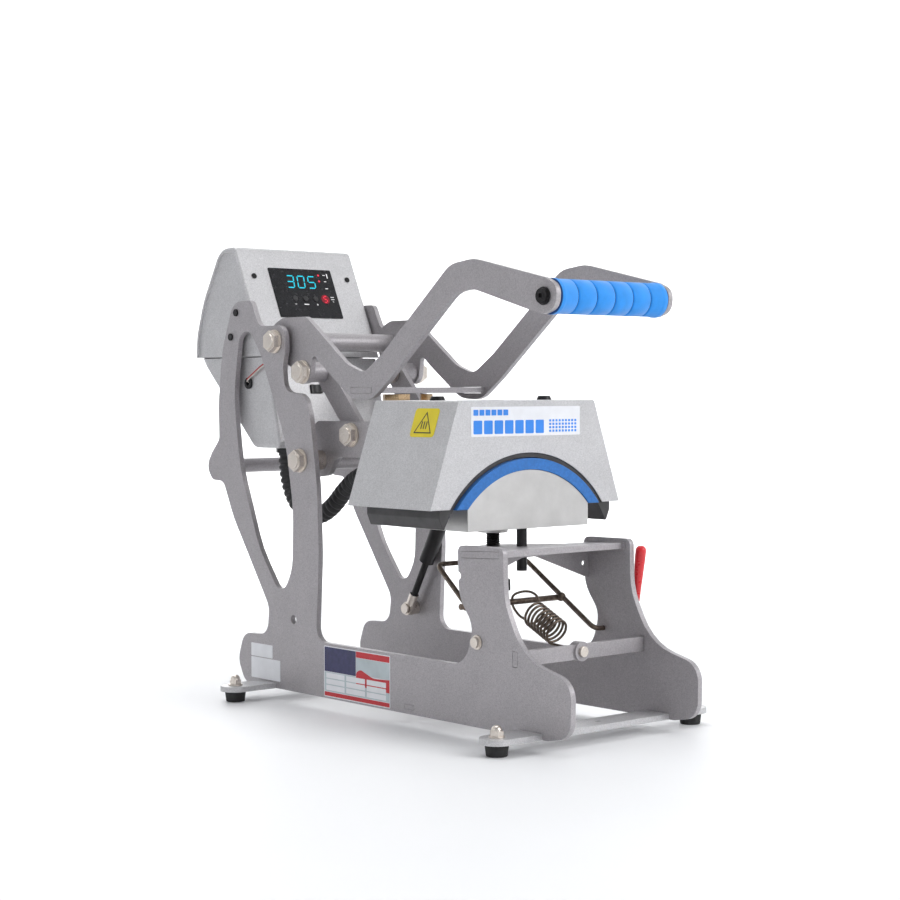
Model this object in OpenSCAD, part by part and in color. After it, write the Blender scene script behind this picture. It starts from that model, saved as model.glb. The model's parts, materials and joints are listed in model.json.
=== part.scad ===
// Swing-up heat press for caps: a curved heated platen on a toggle-driven arm,
// a curved lower platen on an adjustable post, a spring bail that holds the cap,
// and a control housing behind.
// X is across the press, Y runs from the operator to the back, Z is up.

/* [Frame] */
// Thickness of the side plates, handle arms, brackets and links
plate_t = 6.35; // [5:0.05:7]
// Clear width between the side plates
frame_gap = 172.7; // [170:0.1:176]
// Distance from the front feet to the rear feet
foot_pitch_y = 441.4; // [430:1:450]
// Distance of a foot from the mid-plane
foot_x = 137; // [125:1:145]
// Height of the rubber feet
foot_h = 12; // [8:1:16]
// Thickness of the two foot bars
foot_bar_t = 6; // [4:0.5:6]
// Distance of the front feet ahead of the frame's origin
front_foot_y = 270.66; // [260:0.01:285]

/* [Linkage] */
// Clear width between the handle arms
arm_gap = 151.3; // [150:0.1:154]
// Clear width between the platen arm brackets
bracket_gap = 114; // [110:1:118]
// Clear width between the toggle links
link_gap = 97.2; // [94:0.1:100]
// Handle pivot, distance behind the front feet and height
handle_pivot = [423, 407];
// Pin that joins the handle arms to the toggle links
toggle_pivot = [384, 372];
// Platen arm pivot in the side plates
arm_pivot = [376, 273];
// Pin that joins the toggle links to the brackets
link_pivot = [320, 302];
// Radius of the pivot bolts
pivot_r = 7; // [6:0.5:8]
// Radial running clearance of every turning pin
fit = 0.05; // [0.02:0.01:0.1]

/* [Head] */
// Half-width of the head cover at its top edge
cover_top_x = 96.2; // [92:0.1:100]
// Half-width of the head cover at its bottom edge
cover_bottom_x = 134.3; // [128:0.1:138]
// Height of the cover's bottom edge
cover_z0 = 230.4; // [228:0.1:233]
// Height of the cover's top
cover_z1 = 340.4; // [337:0.1:342]
// Front of the cover
cover_y0 = 101; // [99:0.5:103]
// Back of the cover
cover_y1 = 236; // [230:1:240]
// Sheet thickness of the cover
cover_t = 1.5; // [1:0.1:2]
// Height of the centre of the platens' curve
curve_z = 153; // [151:0.5:155]
// Radius of the heated platen's curve
hot_r = 128; // [127.8:0.1:129]
// Radius of the lower platen's curve
lower_r = 115.3; // [113:0.1:115.5]
// Thickness of the silicone pad
pad_t = 12; // [10:0.1:12.2]
// Half-width of the lower platen
lower_x = 85.5; // [80:0.5:88]

/* [Controls] */
// Half-width of the control housing
housing_x = 85.5; // [83:0.5:86]
// Depth of the side panels' recess in the housing
side_recess = 2.5; // [1.5:0.5:3]
// Wall thickness of the control housing
housing_t = 2.5; // [2:0.5:3]
// Height of the seam between the two housing shells
seam_z = 391; // [388:1:394]
// Lean of the control panel from vertical
panel_lean = 24.7; // [22:0.1:27]
// Size of the display window across and up the panel
window_size = [92, 65];

/* [Hold-down and adjustment] */
// Pivot of the hold-down bail
bail_pivot = [78, 98];
// Radius of the bail wire
bail_r = 2.7; // [2.3:0.1:3]
// Number of turns in the hold-down spring
spring_turns = 8; // [6:1:10]
// Mean radius of the hold-down spring's coils
spring_r = 13; // [10:0.5:14]
// Radius of the pressure rod
rod_r = 7.8; // [7:0.1:8]
// Distance of the pressure rod behind the front feet
rod_y = 157; // [150:1:160]
// Lower end and bracket end of the gas spring
gas_low = [390, 93.5];
gas_top = [282, 288];
// Radius of the gas spring's cylinder
gas_r = 9; // [8:0.5:10]

/* [Hidden] */
$fn = 48;

steel_paint = [0.62, 0.61, 0.63];
shell_paint = [0.72, 0.72, 0.74];
zinc = [0.80, 0.77, 0.66];
black = [0.09, 0.09, 0.10];

inner_x = frame_gap / 2;
outer_x = inner_x + plate_t;
arm_x = arm_gap / 2;
bracket_x = bracket_gap / 2;
link_x = link_gap / 2;
foot_bar_z = foot_h;
foot_bar_half = 17;
foot_bar_top = foot_bar_z + foot_bar_t;
foot_screw_r = 4;
bench_hole_r = 3.3;
bar_boss_x = -5;
bar_boss_z = 87;
gusset_y = 100;
rear_tube = [546, 262];
top_plate_z = 189.5;
top_plate_slope = 2.5;
guide_y = 112;
guide_r = 5.5;
knob_z = [138, 150];
spring_low = [0, 30, 88];
// Loop that hooks over the bail's cross rod (y, z)
spring_loop = [
    [112, 109.5], [121, 113], [129.5, 120.5], [132.8, 128], [130, 134.5],
    [118, 139], [105, 140], [96, 137.5]
];
spring_high = [8, 125, 128];
housing_front = [455, seam_z];
panel_top = [514, 520];
window_top = 26;
key_slope = 66;
key_xs = [-18, -3, 12];
panel_screw_xs = [-68.5, 68.5];
housing_bolts = [[500, 442], [511, 414]];
housing_bolt_r = 2.6;
sensor_grommet = [491, 360];
sensor_grommet_r = 6.5;
side_lip = 6;
lower_shell_x = housing_x - 4.5;
inlet_low = [18, 444];
inlet_high = [46, 466];
rocker_lean = 13;
rocker_at = [-17, 446.4, 353];
rocker_depth = 4;
conduit_x = -45;
conduit_r = 10.4;
gland_bore_r = 10.6;
gland_r = 11.8;
gland_nut_r = 14.5;
gland_z = 262;
post_xs = [-46, 46];
post_ys = [140, 196];
post_r = 5;
cover_screw_xs = [-76, 76];
cover_screw_y = 158;
stop_posts = [[-40, 16], [3, 7.5]];
stop_y = 270;
head_plate_z = [309, 317];
// Route of the conduit from the housing down and forward to the head (y, z)
conduit_route = [
    [466, 287], [466, 268], [462, 246], [452, 227], [436, 214], [416, 208],
    [396, 211], [376, 222], [358, 237], [339, 250], [316, 259], [290, gland_z], [241, gland_z]
];

// ---------- outlines: corners [a, b, radius] joined by arcs ----------

function unit(v) = v / norm(v);
function arc_turn(a) = a > 180 ? a - 360 : (a < -180 ? a + 360 : a);
function corner_arc(a, b, c, r) =
    let (u = unit(a - b), v = unit(c - b),
         half = acos(max(-1, min(1, u * v))) / 2,
         reach = min(r / tan(half), 0.499 * min(norm(a - b), norm(c - b))),
         rad = reach * tan(half),
         o = b + unit(u + v) * rad / sin(half),
         p = b + u * reach, q = b + v * reach,
         a0 = atan2(p[1] - o[1], p[0] - o[0]),
         turn = arc_turn(atan2(q[1] - o[1], q[0] - o[0]) - a0),
         n = max(2, ceil(abs(turn) / 12)))
    [for (i = [0 : n]) o + rad * [cos(a0 + turn * i / n), sin(a0 + turn * i / n)]];
function xy(p) = [p[0], p[1]];
function outline(pts) =
    let (n = len(pts))
    [for (i = [0 : n - 1])
        each pts[i][2] == 0 ? [xy(pts[i])]
             : corner_arc(xy(pts[(i + n - 1) % n]), xy(pts[i]), xy(pts[(i + 1) % n]), pts[i][2])];
function edge_normal(a, b) = let (d = unit(b - a)) [-d[1], d[0]];
// Outline moved inwards by d; the corners run anticlockwise
function inset(pts, d) =
    let (n = len(pts))
    [for (i = [0 : n - 1])
        let (p = xy(pts[i]),
             m = edge_normal(xy(pts[(i + n - 1) % n]), p),
             k = edge_normal(p, xy(pts[(i + 1) % n])),
             q = p + d * (m + k) / (1 + m * k))
        [q[0], q[1], max(0, pts[i][2] - d)]];

// ---------- common shapes ----------

// A sheet that stands across X, from an outline in Y and Z
module sheet_x(pts, x, t) {
    translate([x, 0, 0]) rotate([90, 0, 90]) linear_extrude(t) polygon(outline(pts));
}
// A prism that runs along Y, from an outline in X and Z
module prism_y(pts, y, length) {
    translate([0, y + length, 0]) rotate([90, 0, 0]) linear_extrude(length) polygon(outline(pts));
}
// A round bar along X through the point at = [y, z]
module bar_x(at, r, x0, x1) {
    translate([x0, at[0], at[1]]) rotate([0, 90, 0]) cylinder(r = r, h = x1 - x0);
}
module ring_x(at, r, bore, x0, x1) {
    difference() {
        bar_x(at, r, x0, x1);
        bar_x(at, bore, x0 - 1, x1 + 1);
    }
}
module block(low, high) {
    translate(low) cube(high - low);
}
module both_sides() {
    children();
    mirror([1, 0, 0]) children();
}
// A round bar between two points in space
module strut(a, b, r) {
    d = b - a;
    translate(a) rotate([0, acos(d[2] / norm(d)), atan2(d[1], d[0])]) cylinder(r = r, h = norm(d));
}
// A bent wire through a list of points, with round bends
module wire(pts, r) {
    for (i = [0 : len(pts) - 2]) strut(pts[i], pts[i + 1], r);
    for (i = [1 : len(pts) - 2]) translate(pts[i]) sphere(r = r + 0.15, $fn = 24);
}
// A flanged hexagon bolt along X; its head stands outwards from x_seat
module bolt_x(at, x_seat, x_end) {
    washer_t = 2;
    head_t = 7;
    head_r = 12.4;
    bar_x(at, 13.5, x_seat, x_seat + washer_t);
    translate([x_seat + washer_t, at[0], at[1]]) rotate([0, 90, 0]) {
        cylinder(r = head_r, h = head_t, $fn = 6);
        cylinder(r1 = 10.6, r2 = 8.5, h = head_t + 1.6);
    }
    bar_x(at, pivot_r, x_end, x_seat);
}
// Local frame on a sloping panel: X across, Y up the slope, Z out of the panel
module on_panel(at, lean) {
    translate(at) rotate([90 - lean, 0, 0]) children();
}
// A tube of n sides swept along points, closed at both ends
module sweep(path, r, n) {
    last = len(path) - 1;
    function along(i) = unit(path[min(last, i + 1)] - path[max(0, i - 1)]);
    function side_of(t) = unit(cross(t, abs(t[0]) > 0.9 ? [0, 0, 1] : [1, 0, 0]));
    rings = [for (i = [0 : last])
        let (t = along(i), u = side_of(t), v = cross(t, u))
        for (k = [0 : n - 1]) path[i] + r * (cos(360 * k / n) * u + sin(360 * k / n) * v)];
    walls = [for (i = [0 : last - 1], k = [0 : n - 1])
        let (a = i * n + k, b = i * n + (k + 1) % n)
        each [[a, a + n, b], [b, a + n, b + n]]];
    caps = [[for (k = [0 : n - 1]) k], [for (k = [n - 1 : -1 : 0]) last * n + k]];
    polyhedron(rings, concat(walls, caps));
}

// ---------- frame ----------

side_outline = [
    [462, 439, 8], [470, 455, 8], [506, 455, 22], [530, 398, 120], [538, 335, 120],
    [537, 294, 10], [552, 279, 8], [564, 262, 14], [552, 246, 10], [529, 245, 12],
    [508, 203, 100], [437, 104, 22], [441, 72, 16], [488, 70, 18], [500, 38, 20],
    [486, foot_bar_z, 18], [-24, foot_bar_z, 14], [-56, 18, 34], [-57, 72, 22], [10, 88, 80],
    [38, 142, 70], [39, 195, 7], [108, 194, 7], [106, 142, 40], [84, 114, 24],
    [96, 73, 26], [348, 73, 16], [342, 170, 200], [345, 245, 200], [357, 322, 40],
    [366, 347, 18], [405, 350, 16], [408, 380, 30], [403, 396, 20], [404, 425, 16],
    [454, 425, 14]
];
window_outline = [
    [474, 422, 14], [494, 415, 14], [506, 345, 140], [494, 262, 160], [456, 170, 120],
    [413, 116, 16], [392, 150, 50], [390, 220, 160], [404, 295, 140], [452, 394, 60]
];

module side_plate() {
    difference() {
        sheet_x(side_outline, inner_x, plate_t);
        sheet_x(window_outline, inner_x - 1, plate_t + 2);
        for (at = [handle_pivot, arm_pivot]) bar_x(at, pivot_r + fit, inner_x - 1, outer_x + 1);
        bar_x(bail_pivot, bail_r + 0.1, inner_x - 1, outer_x + 1);
        bar_x([107, 163], 4, inner_x - 1, outer_x + 1);
        bar_x(gas_low, 5, inner_x - 1, outer_x + 1);
        for (at = housing_bolts) bar_x(at, housing_bolt_r, inner_x - 1, outer_x + 1);
        for (y = [0, foot_pitch_y])
            block([inner_x - 1, y - foot_bar_half, foot_bar_z - 1],
                  [outer_x + 1, y + foot_bar_half, foot_bar_top]);
        top_plate_tab(0.3, 1);
        block([inner_x - 1, 18.7, 78.7], [outer_x + 1, 25.7, 94.3]);
        block([inner_x - 1, 177.7, 16.7], [outer_x + 1, 193.3, 22.3]);
    }
}
module side_plate_left() { color(steel_paint) mirror([1, 0, 0]) side_plate(); }
module side_plate_right() { color(steel_paint) side_plate(); }

module top_plate_tab(gap, reach) {
    translate([0, 74, top_plate_z - 3.4]) rotate([-top_plate_slope, 0, 0])
        block([inner_x - 1, -28.5 - gap, -3.2 - gap], [outer_x + reach, 28.5 + gap, 3.2 + gap]);
}
module pedestal_top_plate() {
    plate_outline = [
        [-inner_x, -24, 0], [inner_x, -24, 0], [inner_x, 26, 4], [52, 34, 10], [26, 106, 14],
        [-26, 106, 14], [-52, 34, 10], [-inner_x, 26, 4]
    ];
    color(steel_paint) difference() {
        union() {
            translate([0, 74, top_plate_z - 3.4]) rotate([-top_plate_slope, 0, 0])
                translate([0, 0, -3.2]) linear_extrude(6.4) polygon(outline(plate_outline));
            both_sides() top_plate_tab(0, 0);
        }
        translate([0, rod_y, 150]) cylinder(r = rod_r + 0.25, h = 60);
        translate([0, guide_y, 150]) cylinder(r = guide_r + fit, h = 60);
    }
}
module pedestal_gusset() {
    color(steel_paint) difference() {
        prism_y([[-inner_x, 150, 0], [-10, 177, 12], [10, 177, 12], [inner_x, 150, 0],
                 [inner_x, 181.6, 0], [-inner_x, 181.6, 0]], gusset_y, 3.2);
        both_sides() translate([79, gusset_y - 1, 166]) rotate([-90, 0, 0]) cylinder(r = 2.8, h = 6);
    }
}
module mid_cross_bar() {
    color(steel_paint) difference() {
        union() {
            block([-outer_x, 19, 79], [outer_x, 25.4, 94]);
            translate([bar_boss_x, 16.5, bar_boss_z]) rotate([-90, 0, 0]) cylinder(r = 10, h = 11);
        }
        translate([bar_boss_x, 0, bar_boss_z]) rotate([-90, 0, 0]) cylinder(r = 3.05, h = 60);
    }
}
module base_tie_bar() {
    color(steel_paint) block([-outer_x, 178, 17], [outer_x, 193, 22]);
}
module foot_bars() {
    color(shell_paint) for (y = [0, foot_pitch_y]) difference() {
        union() {
            block([-foot_x, y - foot_bar_half, foot_bar_z], [foot_x, y + foot_bar_half, foot_bar_top]);
            for (x = [-foot_x, foot_x])
                translate([x, y, foot_bar_z]) cylinder(r = foot_bar_half, h = foot_bar_t);
        }
        for (x = [-foot_x, foot_x]) translate([x, y, 0]) cylinder(r = foot_screw_r + fit, h = 40);
        translate([0, y, 0]) cylinder(r = bench_hole_r, h = 40);
    }
}
module rubber_feet() {
    color(black) for (x = [-foot_x, foot_x], y = [0, foot_pitch_y]) translate([x, y, 0]) difference() {
        cylinder(r1 = 10.4, r2 = 12, h = foot_h);
        translate([0, 0, 4]) cylinder(r = foot_screw_r + fit, h = foot_h);
    }
}
module foot_screws() {
    color(zinc) for (x = [-foot_x, foot_x], y = [0, foot_pitch_y]) translate([x, y, 0]) {
        translate([0, 0, 4]) cylinder(r = foot_screw_r, h = foot_bar_top);
        translate([0, 0, foot_bar_top]) {
            cylinder(r = 8, h = 1.5);
            cylinder(r = 7, h = 6.5, $fn = 6);
            translate([0, 0, 6.5]) sphere(r = 5.6, $fn = 32);
        }
    }
}
module rear_cross_tube() {
    color(steel_paint) ring_x(rear_tube, 8.5, 6, -inner_x, inner_x);
}
module frame_pivot_bolts() {
    color(zinc) both_sides() {
        bolt_x(handle_pivot, outer_x, arm_x - 14);
        bolt_x(arm_pivot, outer_x, bracket_x - 14);
    }
}
module pivot_spacers() {
    color(zinc) both_sides() {
        ring_x(handle_pivot, 11, pivot_r + fit, arm_x + plate_t + 0.1, inner_x);
        ring_x(arm_pivot, 11, pivot_r + fit, bracket_x + plate_t + 0.1, inner_x);
    }
}
module frame_labels() {
    label_t = 0.4;
    color([0.75, 0.77, 0.82]) {
        block([-outer_x - label_t, 217, 14], [-outer_x, 333, 70]);
        block([-outer_x - label_t, 416, 20], [-outer_x, 473, 44]);
        block([-outer_x - label_t, 431, 45], [-outer_x, 473, 60]);
    }
}

// ---------- control housing ----------

upper_outline = [
    [housing_front[0], seam_z, 0], [598, seam_z, 0], [596, 418, 60], [582, 458, 90],
    [545, 520, 34], [panel_top[0], panel_top[1], 7]
];
lower_outline = [
    [housing_front[0], seam_z - 0.4, 0], [431, 285, 7], [484, 285, 16], [582, 378, 24],
    [591, seam_z - 0.4, 0]
];

// Outline of the recess in each side, which runs out through the seam
recess_outline = [
    [housing_front[0] - 3.7, seam_z - 8, 0], [598, seam_z - 8, 0], upper_outline[2], upper_outline[3],
    upper_outline[4], upper_outline[5]
];

module housing_shell(corners, half_x, side_t, mouth) {
    hollow_x = half_x - side_t;
    difference() {
        sheet_x(corners, -half_x, 2 * half_x);
        sheet_x(inset(corners, housing_t), -hollow_x, 2 * hollow_x);
        block([-hollow_x, mouth[0], seam_z - 4], [hollow_x, mouth[1], seam_z + 4]);
    }
}
module housing_upper_shell() {
    color(shell_paint) difference() {
        union() {
            difference() {
                housing_shell(upper_outline, housing_x, housing_t + side_recess, [459, 594]);
                both_sides() sheet_x(inset(recess_outline, side_lip), housing_x - side_recess, 4);
            }
            both_sides() for (at = housing_bolts) bar_x(at, 7, housing_x - 8, inner_x);
        }
        both_sides() for (at = housing_bolts) bar_x(at, housing_bolt_r, housing_x - 10, inner_x + 1);
        on_panel([0, panel_top[0], panel_top[1]], panel_lean)
            block([-window_size[0] / 2, -window_top - window_size[1], -8],
                  [window_size[0] / 2, -window_top, 8]);
        for (x = panel_screw_xs) on_panel([x, panel_top[0], panel_top[1]], panel_lean)
            translate([0, -38, -8]) cylinder(r = 1.6, h = 16);
    }
}
module housing_lower_shell() {
    color(shell_paint) difference() {
        housing_shell(lower_outline, lower_shell_x, housing_t, [458.5, 587]);
        on_panel(rocker_at, rocker_lean) block([-8.6, -5.4, -8], [8.6, 5.4, 8]);
        block([inlet_low[0], inlet_low[1], 280], [inlet_high[0], inlet_high[1], 290]);
        translate([conduit_x, conduit_route[0][0], 280]) cylinder(r = gland_r + 0.1, h = 12);
        bar_x(sensor_grommet, sensor_grommet_r, -lower_shell_x - 1, -lower_shell_x + 4);
    }
}
module housing_screws() {
    color(black) {
        both_sides() for (at = housing_bolts) {
            bar_x(at, 4.2, outer_x, outer_x + 1.8);
            bar_x(at, housing_bolt_r - 0.1, housing_x - 5, outer_x);
        }
        for (x = panel_screw_xs) on_panel([x, panel_top[0], panel_top[1]], panel_lean)
            translate([0, -38, -6]) {
                cylinder(r = 1.5, h = 6);
                translate([0, 0, 6]) cylinder(r = 3.4, h = 1.2);
            }
    }
}
module display_window() {
    color(black) on_panel([0, panel_top[0], panel_top[1]], panel_lean) difference() {
        block([-window_size[0] / 2 + 0.1, -window_top - window_size[1] + 0.3, -2],
              [window_size[0] / 2 - 0.1, -window_top - 0.1, 0.9]);
        for (x = key_xs) translate([x, -key_slope, -3]) cylinder(r = 3.5 + fit, h = 6);
    }
}
module key(x) {
    color([0.2, 0.2, 0.22]) on_panel([0, panel_top[0], panel_top[1]], panel_lean)
        translate([x, -key_slope, -1.2]) cylinder(r = 3.5, h = 3);
}
module key_left() { key(key_xs[0]); }
module key_centre() { key(key_xs[1]); }
module key_right() { key(key_xs[2]); }
module rocker_switch() {
    color(black) on_panel(rocker_at, rocker_lean) translate([0, 0, -rocker_depth]) rotate([0, -7, 0]) {
        difference() {
            block([-7.8, -4.9, 0], [7.8, 4.9, 7.4]);
            translate([0, -6, 16.2]) rotate([-90, 0, 0]) cylinder(r = 10, h = 12);
        }
        translate([0, -6.5, 0]) rotate([-90, 0, 0]) cylinder(r = 1.2, h = 13);
    }
}
module power_inlet() {
    color(black) difference() {
        union() {
            block([inlet_low[0] + 0.1, inlet_low[1] + 0.1, 284.8],
                  [inlet_high[0] - 0.1, inlet_high[1] - 0.1, 306]);
            block([inlet_low[0] - 3, inlet_low[1] - 3, 282.6],
                  [inlet_high[0] + 3, inlet_high[1] + 3, 284.9]);
        }
        block([inlet_low[0] + 3, inlet_low[1] + 3, 282], [inlet_high[0] - 3, inlet_high[1] - 3, 302]);
    }
}
module control_board() {
    color([0.10, 0.35, 0.20]) on_panel([0, panel_top[0], panel_top[1]], panel_lean) {
        block([-62, -104, -16], [62, -22, -14.4]);
        for (x = [-40, 40]) block([x - 6, -70, -14.5], [x + 6, -50, -2]);
    }
}
module housing_grommets() {
    color(black) {
        difference() {
            bar_x(sensor_grommet, sensor_grommet_r, -lower_shell_x - 2.5, -lower_shell_x + 4);
            bar_x(sensor_grommet, 3, -lower_shell_x - 3, -lower_shell_x + 5);
        }
        translate([conduit_x, conduit_route[0][0], 0]) difference() {
            union() {
                translate([0, 0, 281]) cylinder(r = gland_r, h = 9);
                translate([0, 0, 279]) cylinder(r = gland_nut_r, h = 6, $fn = 6);
            }
            translate([0, 0, 278]) cylinder(r = gland_bore_r, h = 13);
        }
    }
}

function smooth(pts, steps) =
    let (n = len(pts))
    [for (i = [0 : n - 2], k = [0 : steps - 1])
        let (a = pts[max(0, i - 1)], b = pts[i], c = pts[i + 1], d = pts[min(n - 1, i + 2)], t = k / steps)
        0.5 * (2 * b + (c - a) * t + (2 * a - 5 * b + 4 * c - d) * t * t
               + (3 * b - a - 3 * c + d) * t * t * t),
     pts[n - 1]];

module cable_conduit() {
    color(black) sweep([for (p = smooth(conduit_route, 2)) [conduit_x, p[0], p[1]]], conduit_r, 12);
}

// ---------- handle ----------

arm_outline = [
    [450, 407, 0], [442, 426, 20], [423, 434, 20], [378, 434, 12], [304, 380, 40], [274, 370, 20],
    [240, 392, 40], [131, 480, 34], [95, 484, 40], [-10, 460, 14], [-27, 452, 14], [-25, 430, 14],
    [-6, 424, 14], [95, 453, 30], [120, 451, 34], [228, 364, 30], [262, 340, 34], [296, 342, 34],
    [350, 380, 24], [367, 394, 5], [371, 359, 13], [397, 359, 13], [401, 376, 10], [418, 382, 20],
    [440, 384, 20]
];
grip_at = [-9, 442];
grip_ring_pitch = 25.4;

module handle_arm() {
    difference() {
        sheet_x(arm_outline, arm_x, plate_t);
        bar_x(handle_pivot, pivot_r + fit, arm_x - 1, arm_x + plate_t + 1);
        bar_x(toggle_pivot, pivot_r, arm_x - 1, arm_x + plate_t + 1);
        bar_x(grip_at, 4.2, arm_x - 1, arm_x + plate_t + 1);
        block([arm_x - 1, 260.7, 347.7], [arm_x + plate_t + 1, 297.3, 354.7]);
    }
}
module handle_arm_left() { color(steel_paint) mirror([1, 0, 0]) handle_arm(); }
module handle_arm_right() { color(steel_paint) handle_arm(); }
module handle_cross_plate() {
    color(steel_paint) difference() {
        union() {
            block([-arm_x - plate_t, 261, 348], [arm_x + plate_t, 297, 354.4]);
            block([-arm_x, 255, 348], [arm_x, 303, 354.4]);
        }
        for (post = stop_posts) translate([post[0], 279, 340]) cylinder(r = 3, h = 20);
    }
}
module handle_pivot_tube() {
    color(steel_paint) ring_x(handle_pivot, 10.5, pivot_r + fit, -arm_x, arm_x);
}
module grip_tube() {
    color(zinc) difference() {
        bar_x(grip_at, 11, -arm_x, arm_x);
        both_sides() bar_x(grip_at, 4.2, arm_x - 20, arm_x + 1);
    }
}
module foam_grip() {
    color([0.10, 0.45, 0.85]) difference() {
        union() {
            bar_x(grip_at, 17.2, -arm_x + 5, arm_x - 5);
            both_sides() bar_x(grip_at, 18, arm_x - 7, arm_x - 0.5);
        }
        bar_x(grip_at, 11.05, -arm_x - 1, arm_x + 1);
        for (k = [-2 : 2])
            translate([k * grip_ring_pitch, grip_at[0], grip_at[1]]) rotate([0, 90, 0])
                rotate_extrude() translate([18.6, 0]) circle(r = 2.2, $fn = 24);
    }
}
module grip_end_screws() {
    color(black) both_sides() difference() {
        union() {
            bar_x(grip_at, 9, arm_x + plate_t, arm_x + plate_t + 2);
            bar_x(grip_at, 7.5, arm_x + plate_t + 2, arm_x + plate_t + 5);
            bar_x(grip_at, 4.1, arm_x - 18, arm_x + plate_t);
        }
        translate([arm_x + plate_t + 2.5, grip_at[0], grip_at[1]]) rotate([0, 90, 0])
            cylinder(r = 2.9, h = 5, $fn = 6);
    }
}
module toggle_pins() {
    color(zinc) both_sides() {
        bolt_x(toggle_pivot, arm_x + plate_t, link_x - 1);
        bar_x(toggle_pivot, 12, link_x - 9, link_x - 1);
    }
}
module toggle_bushes() {
    color(steel_paint) both_sides()
        ring_x(toggle_pivot, 11.5, pivot_r + fit, link_x + plate_t + 0.1, arm_x);
}
module toggle_links() {
    d = link_pivot - toggle_pivot;
    w = unit([-d[1], d[0]]) * 13.5;
    e = unit(d) * 13.5;
    p = toggle_pivot;
    q = link_pivot;
    corners = [
        concat(p - e + w, 13.4), concat(p - e - w, 13.4), concat(q + e - w, 13.4), concat(q + e + w, 13.4)
    ];
    color([0.45, 0.44, 0.45]) both_sides() difference() {
        union() {
            sheet_x(corners, link_x, plate_t);
            bar_x(q, 11, link_x + plate_t, bracket_x - 0.3);
        }
        bar_x(p, pivot_r + fit, link_x - 1, link_x + plate_t + 1);
        bar_x(q, pivot_r, link_x - 1, bracket_x + 1);
    }
}

// ---------- platen arm and head ----------

bracket_outline = [
    [398, 270, 16], [396, 300, 20], [385, 317, 12], [140, 317, 4], [140, 296, 4], [236, 296, 4],
    [246, 277, 8], [348, 277, 16], [362, 256, 14], [390, 253, 16]
];

module platen_arm_brackets() {
    color(steel_paint) both_sides() difference() {
        sheet_x([for (i = [len(bracket_outline) - 1 : -1 : 0]) bracket_outline[i]], bracket_x, plate_t);
        bar_x(arm_pivot, pivot_r + fit, bracket_x - 1, bracket_x + plate_t + 1);
        bar_x(link_pivot, pivot_r, bracket_x - 1, bracket_x + plate_t + 1);
    }
}
module arm_pivot_tube() {
    color(steel_paint) ring_x(arm_pivot, 11, pivot_r + fit, -bracket_x, bracket_x);
}
module link_pins() {
    color(zinc) both_sides() bolt_x(link_pivot, bracket_x + plate_t, bracket_x);
}
module head_plate() {
    color(steel_paint) difference() {
        block([-bracket_x, 128, head_plate_z[0]], [bracket_x, 288, head_plate_z[1]]);
        for (x = post_xs, y = post_ys) translate([x, y, 300]) cylinder(r = post_r, h = 30);
    }
}
module stop_posts() {
    color([0.72, 0.58, 0.35]) for (post = stop_posts)
        translate([post[0], stop_y, head_plate_z[1]]) cylinder(r = post[1], h = 30, $fn = 6);
}
function cover_section(gap) = [
    [-cover_bottom_x + gap, cover_z0, 0], [cover_bottom_x - gap, cover_z0, 0],
    [cover_top_x - gap, cover_z1 - gap, 3], [-cover_top_x + gap, cover_z1 - gap, 3]
];
module head_cover() {
    color(shell_paint) difference() {
        prism_y(cover_section(0), cover_y0, cover_y1 - cover_y0);
        difference() {
            prism_y(cover_section(cover_t), cover_y0 + cover_t, cover_y1 - cover_y0 - 2 * cover_t);
            block([-200, 0, cover_z1 - cover_t], [200, 400, cover_z1 + 9]);
        }
        block([-cover_bottom_x + 3, cover_y0 + cover_t, cover_z0 - 1],
              [cover_bottom_x - 3, cover_y1 - cover_t, cover_z0 + 1]);
        translate([0, cover_y0 - 1, curve_z]) rotate([-90, 0, 0])
            cylinder(r = hot_r + 5, h = cover_t + 2, $fn = 96);
        block([-bracket_x - plate_t - 1, cover_y1 - 4, 294], [bracket_x + plate_t + 1, cover_y1 + 1, 319]);
        translate([conduit_x, cover_y1 - 5, gland_z]) rotate([-90, 0, 0])
            cylinder(r = gland_r + 0.1, h = 8);
        for (x = cover_screw_xs) translate([x, cover_screw_y, cover_z1 - 5]) cylinder(r = 3, h = 8);
    }
}
module cover_screws() {
    color(black) for (x = cover_screw_xs) translate([x, cover_screw_y, cover_z1]) difference() {
        union() {
            cylinder(r1 = 8.5, r2 = 6.5, h = 4.5);
            translate([0, 0, -8]) cylinder(r = 2.95, h = 8);
        }
        translate([0, 0, 2]) cylinder(r = 2.5, h = 4, $fn = 6);
    }
}
module heat_platen() {
    section = [
        [-112, 210.5, 0], [-116, 210.5, 2], [-121, 222, 3], [-121, 240, 6], [-100, 293, 8],
        [100, 293, 8], [121, 240, 6], [121, 222, 3], [116, 210.5, 2], [112, 210.5, 0]
    ];
    color([0.16, 0.16, 0.17]) {
        difference() {
            prism_y([for (i = [len(section) - 1 : -1 : 0]) section[i]], cover_y0 + cover_t + 0.3, 117);
            translate([0, 90, curve_z]) rotate([-90, 0, 0]) cylinder(r = hot_r, h = 150, $fn = 96);
        }
        for (x = post_xs, y = post_ys) translate([x, y, 292]) cylinder(r = post_r, h = 25);
    }
}
module heater_element() {
    color([0.55, 0.50, 0.42]) difference() {
        block([-92, 112, 293], [92, 212, 295.5]);
        for (x = post_xs, y = post_ys) translate([x, y, 290]) cylinder(r = post_r + 1, h = 10);
    }
}
module head_label() {
    color([0.92, 0.93, 0.95]) block([-80, cover_y0 - 0.4, 303], [74, cover_y0, 334]);
}
module head_cable_gland() {
    color(black) translate([conduit_x, 0, gland_z]) rotate([-90, 0, 0]) difference() {
        union() {
            translate([0, 0, cover_y1 - 6]) cylinder(r = gland_r, h = 8);
            translate([0, 0, cover_y1]) cylinder(r = gland_nut_r, h = 8, $fn = 6);
        }
        translate([0, 0, cover_y1 - 8]) cylinder(r = gland_bore_r, h = 20);
    }
}

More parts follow.
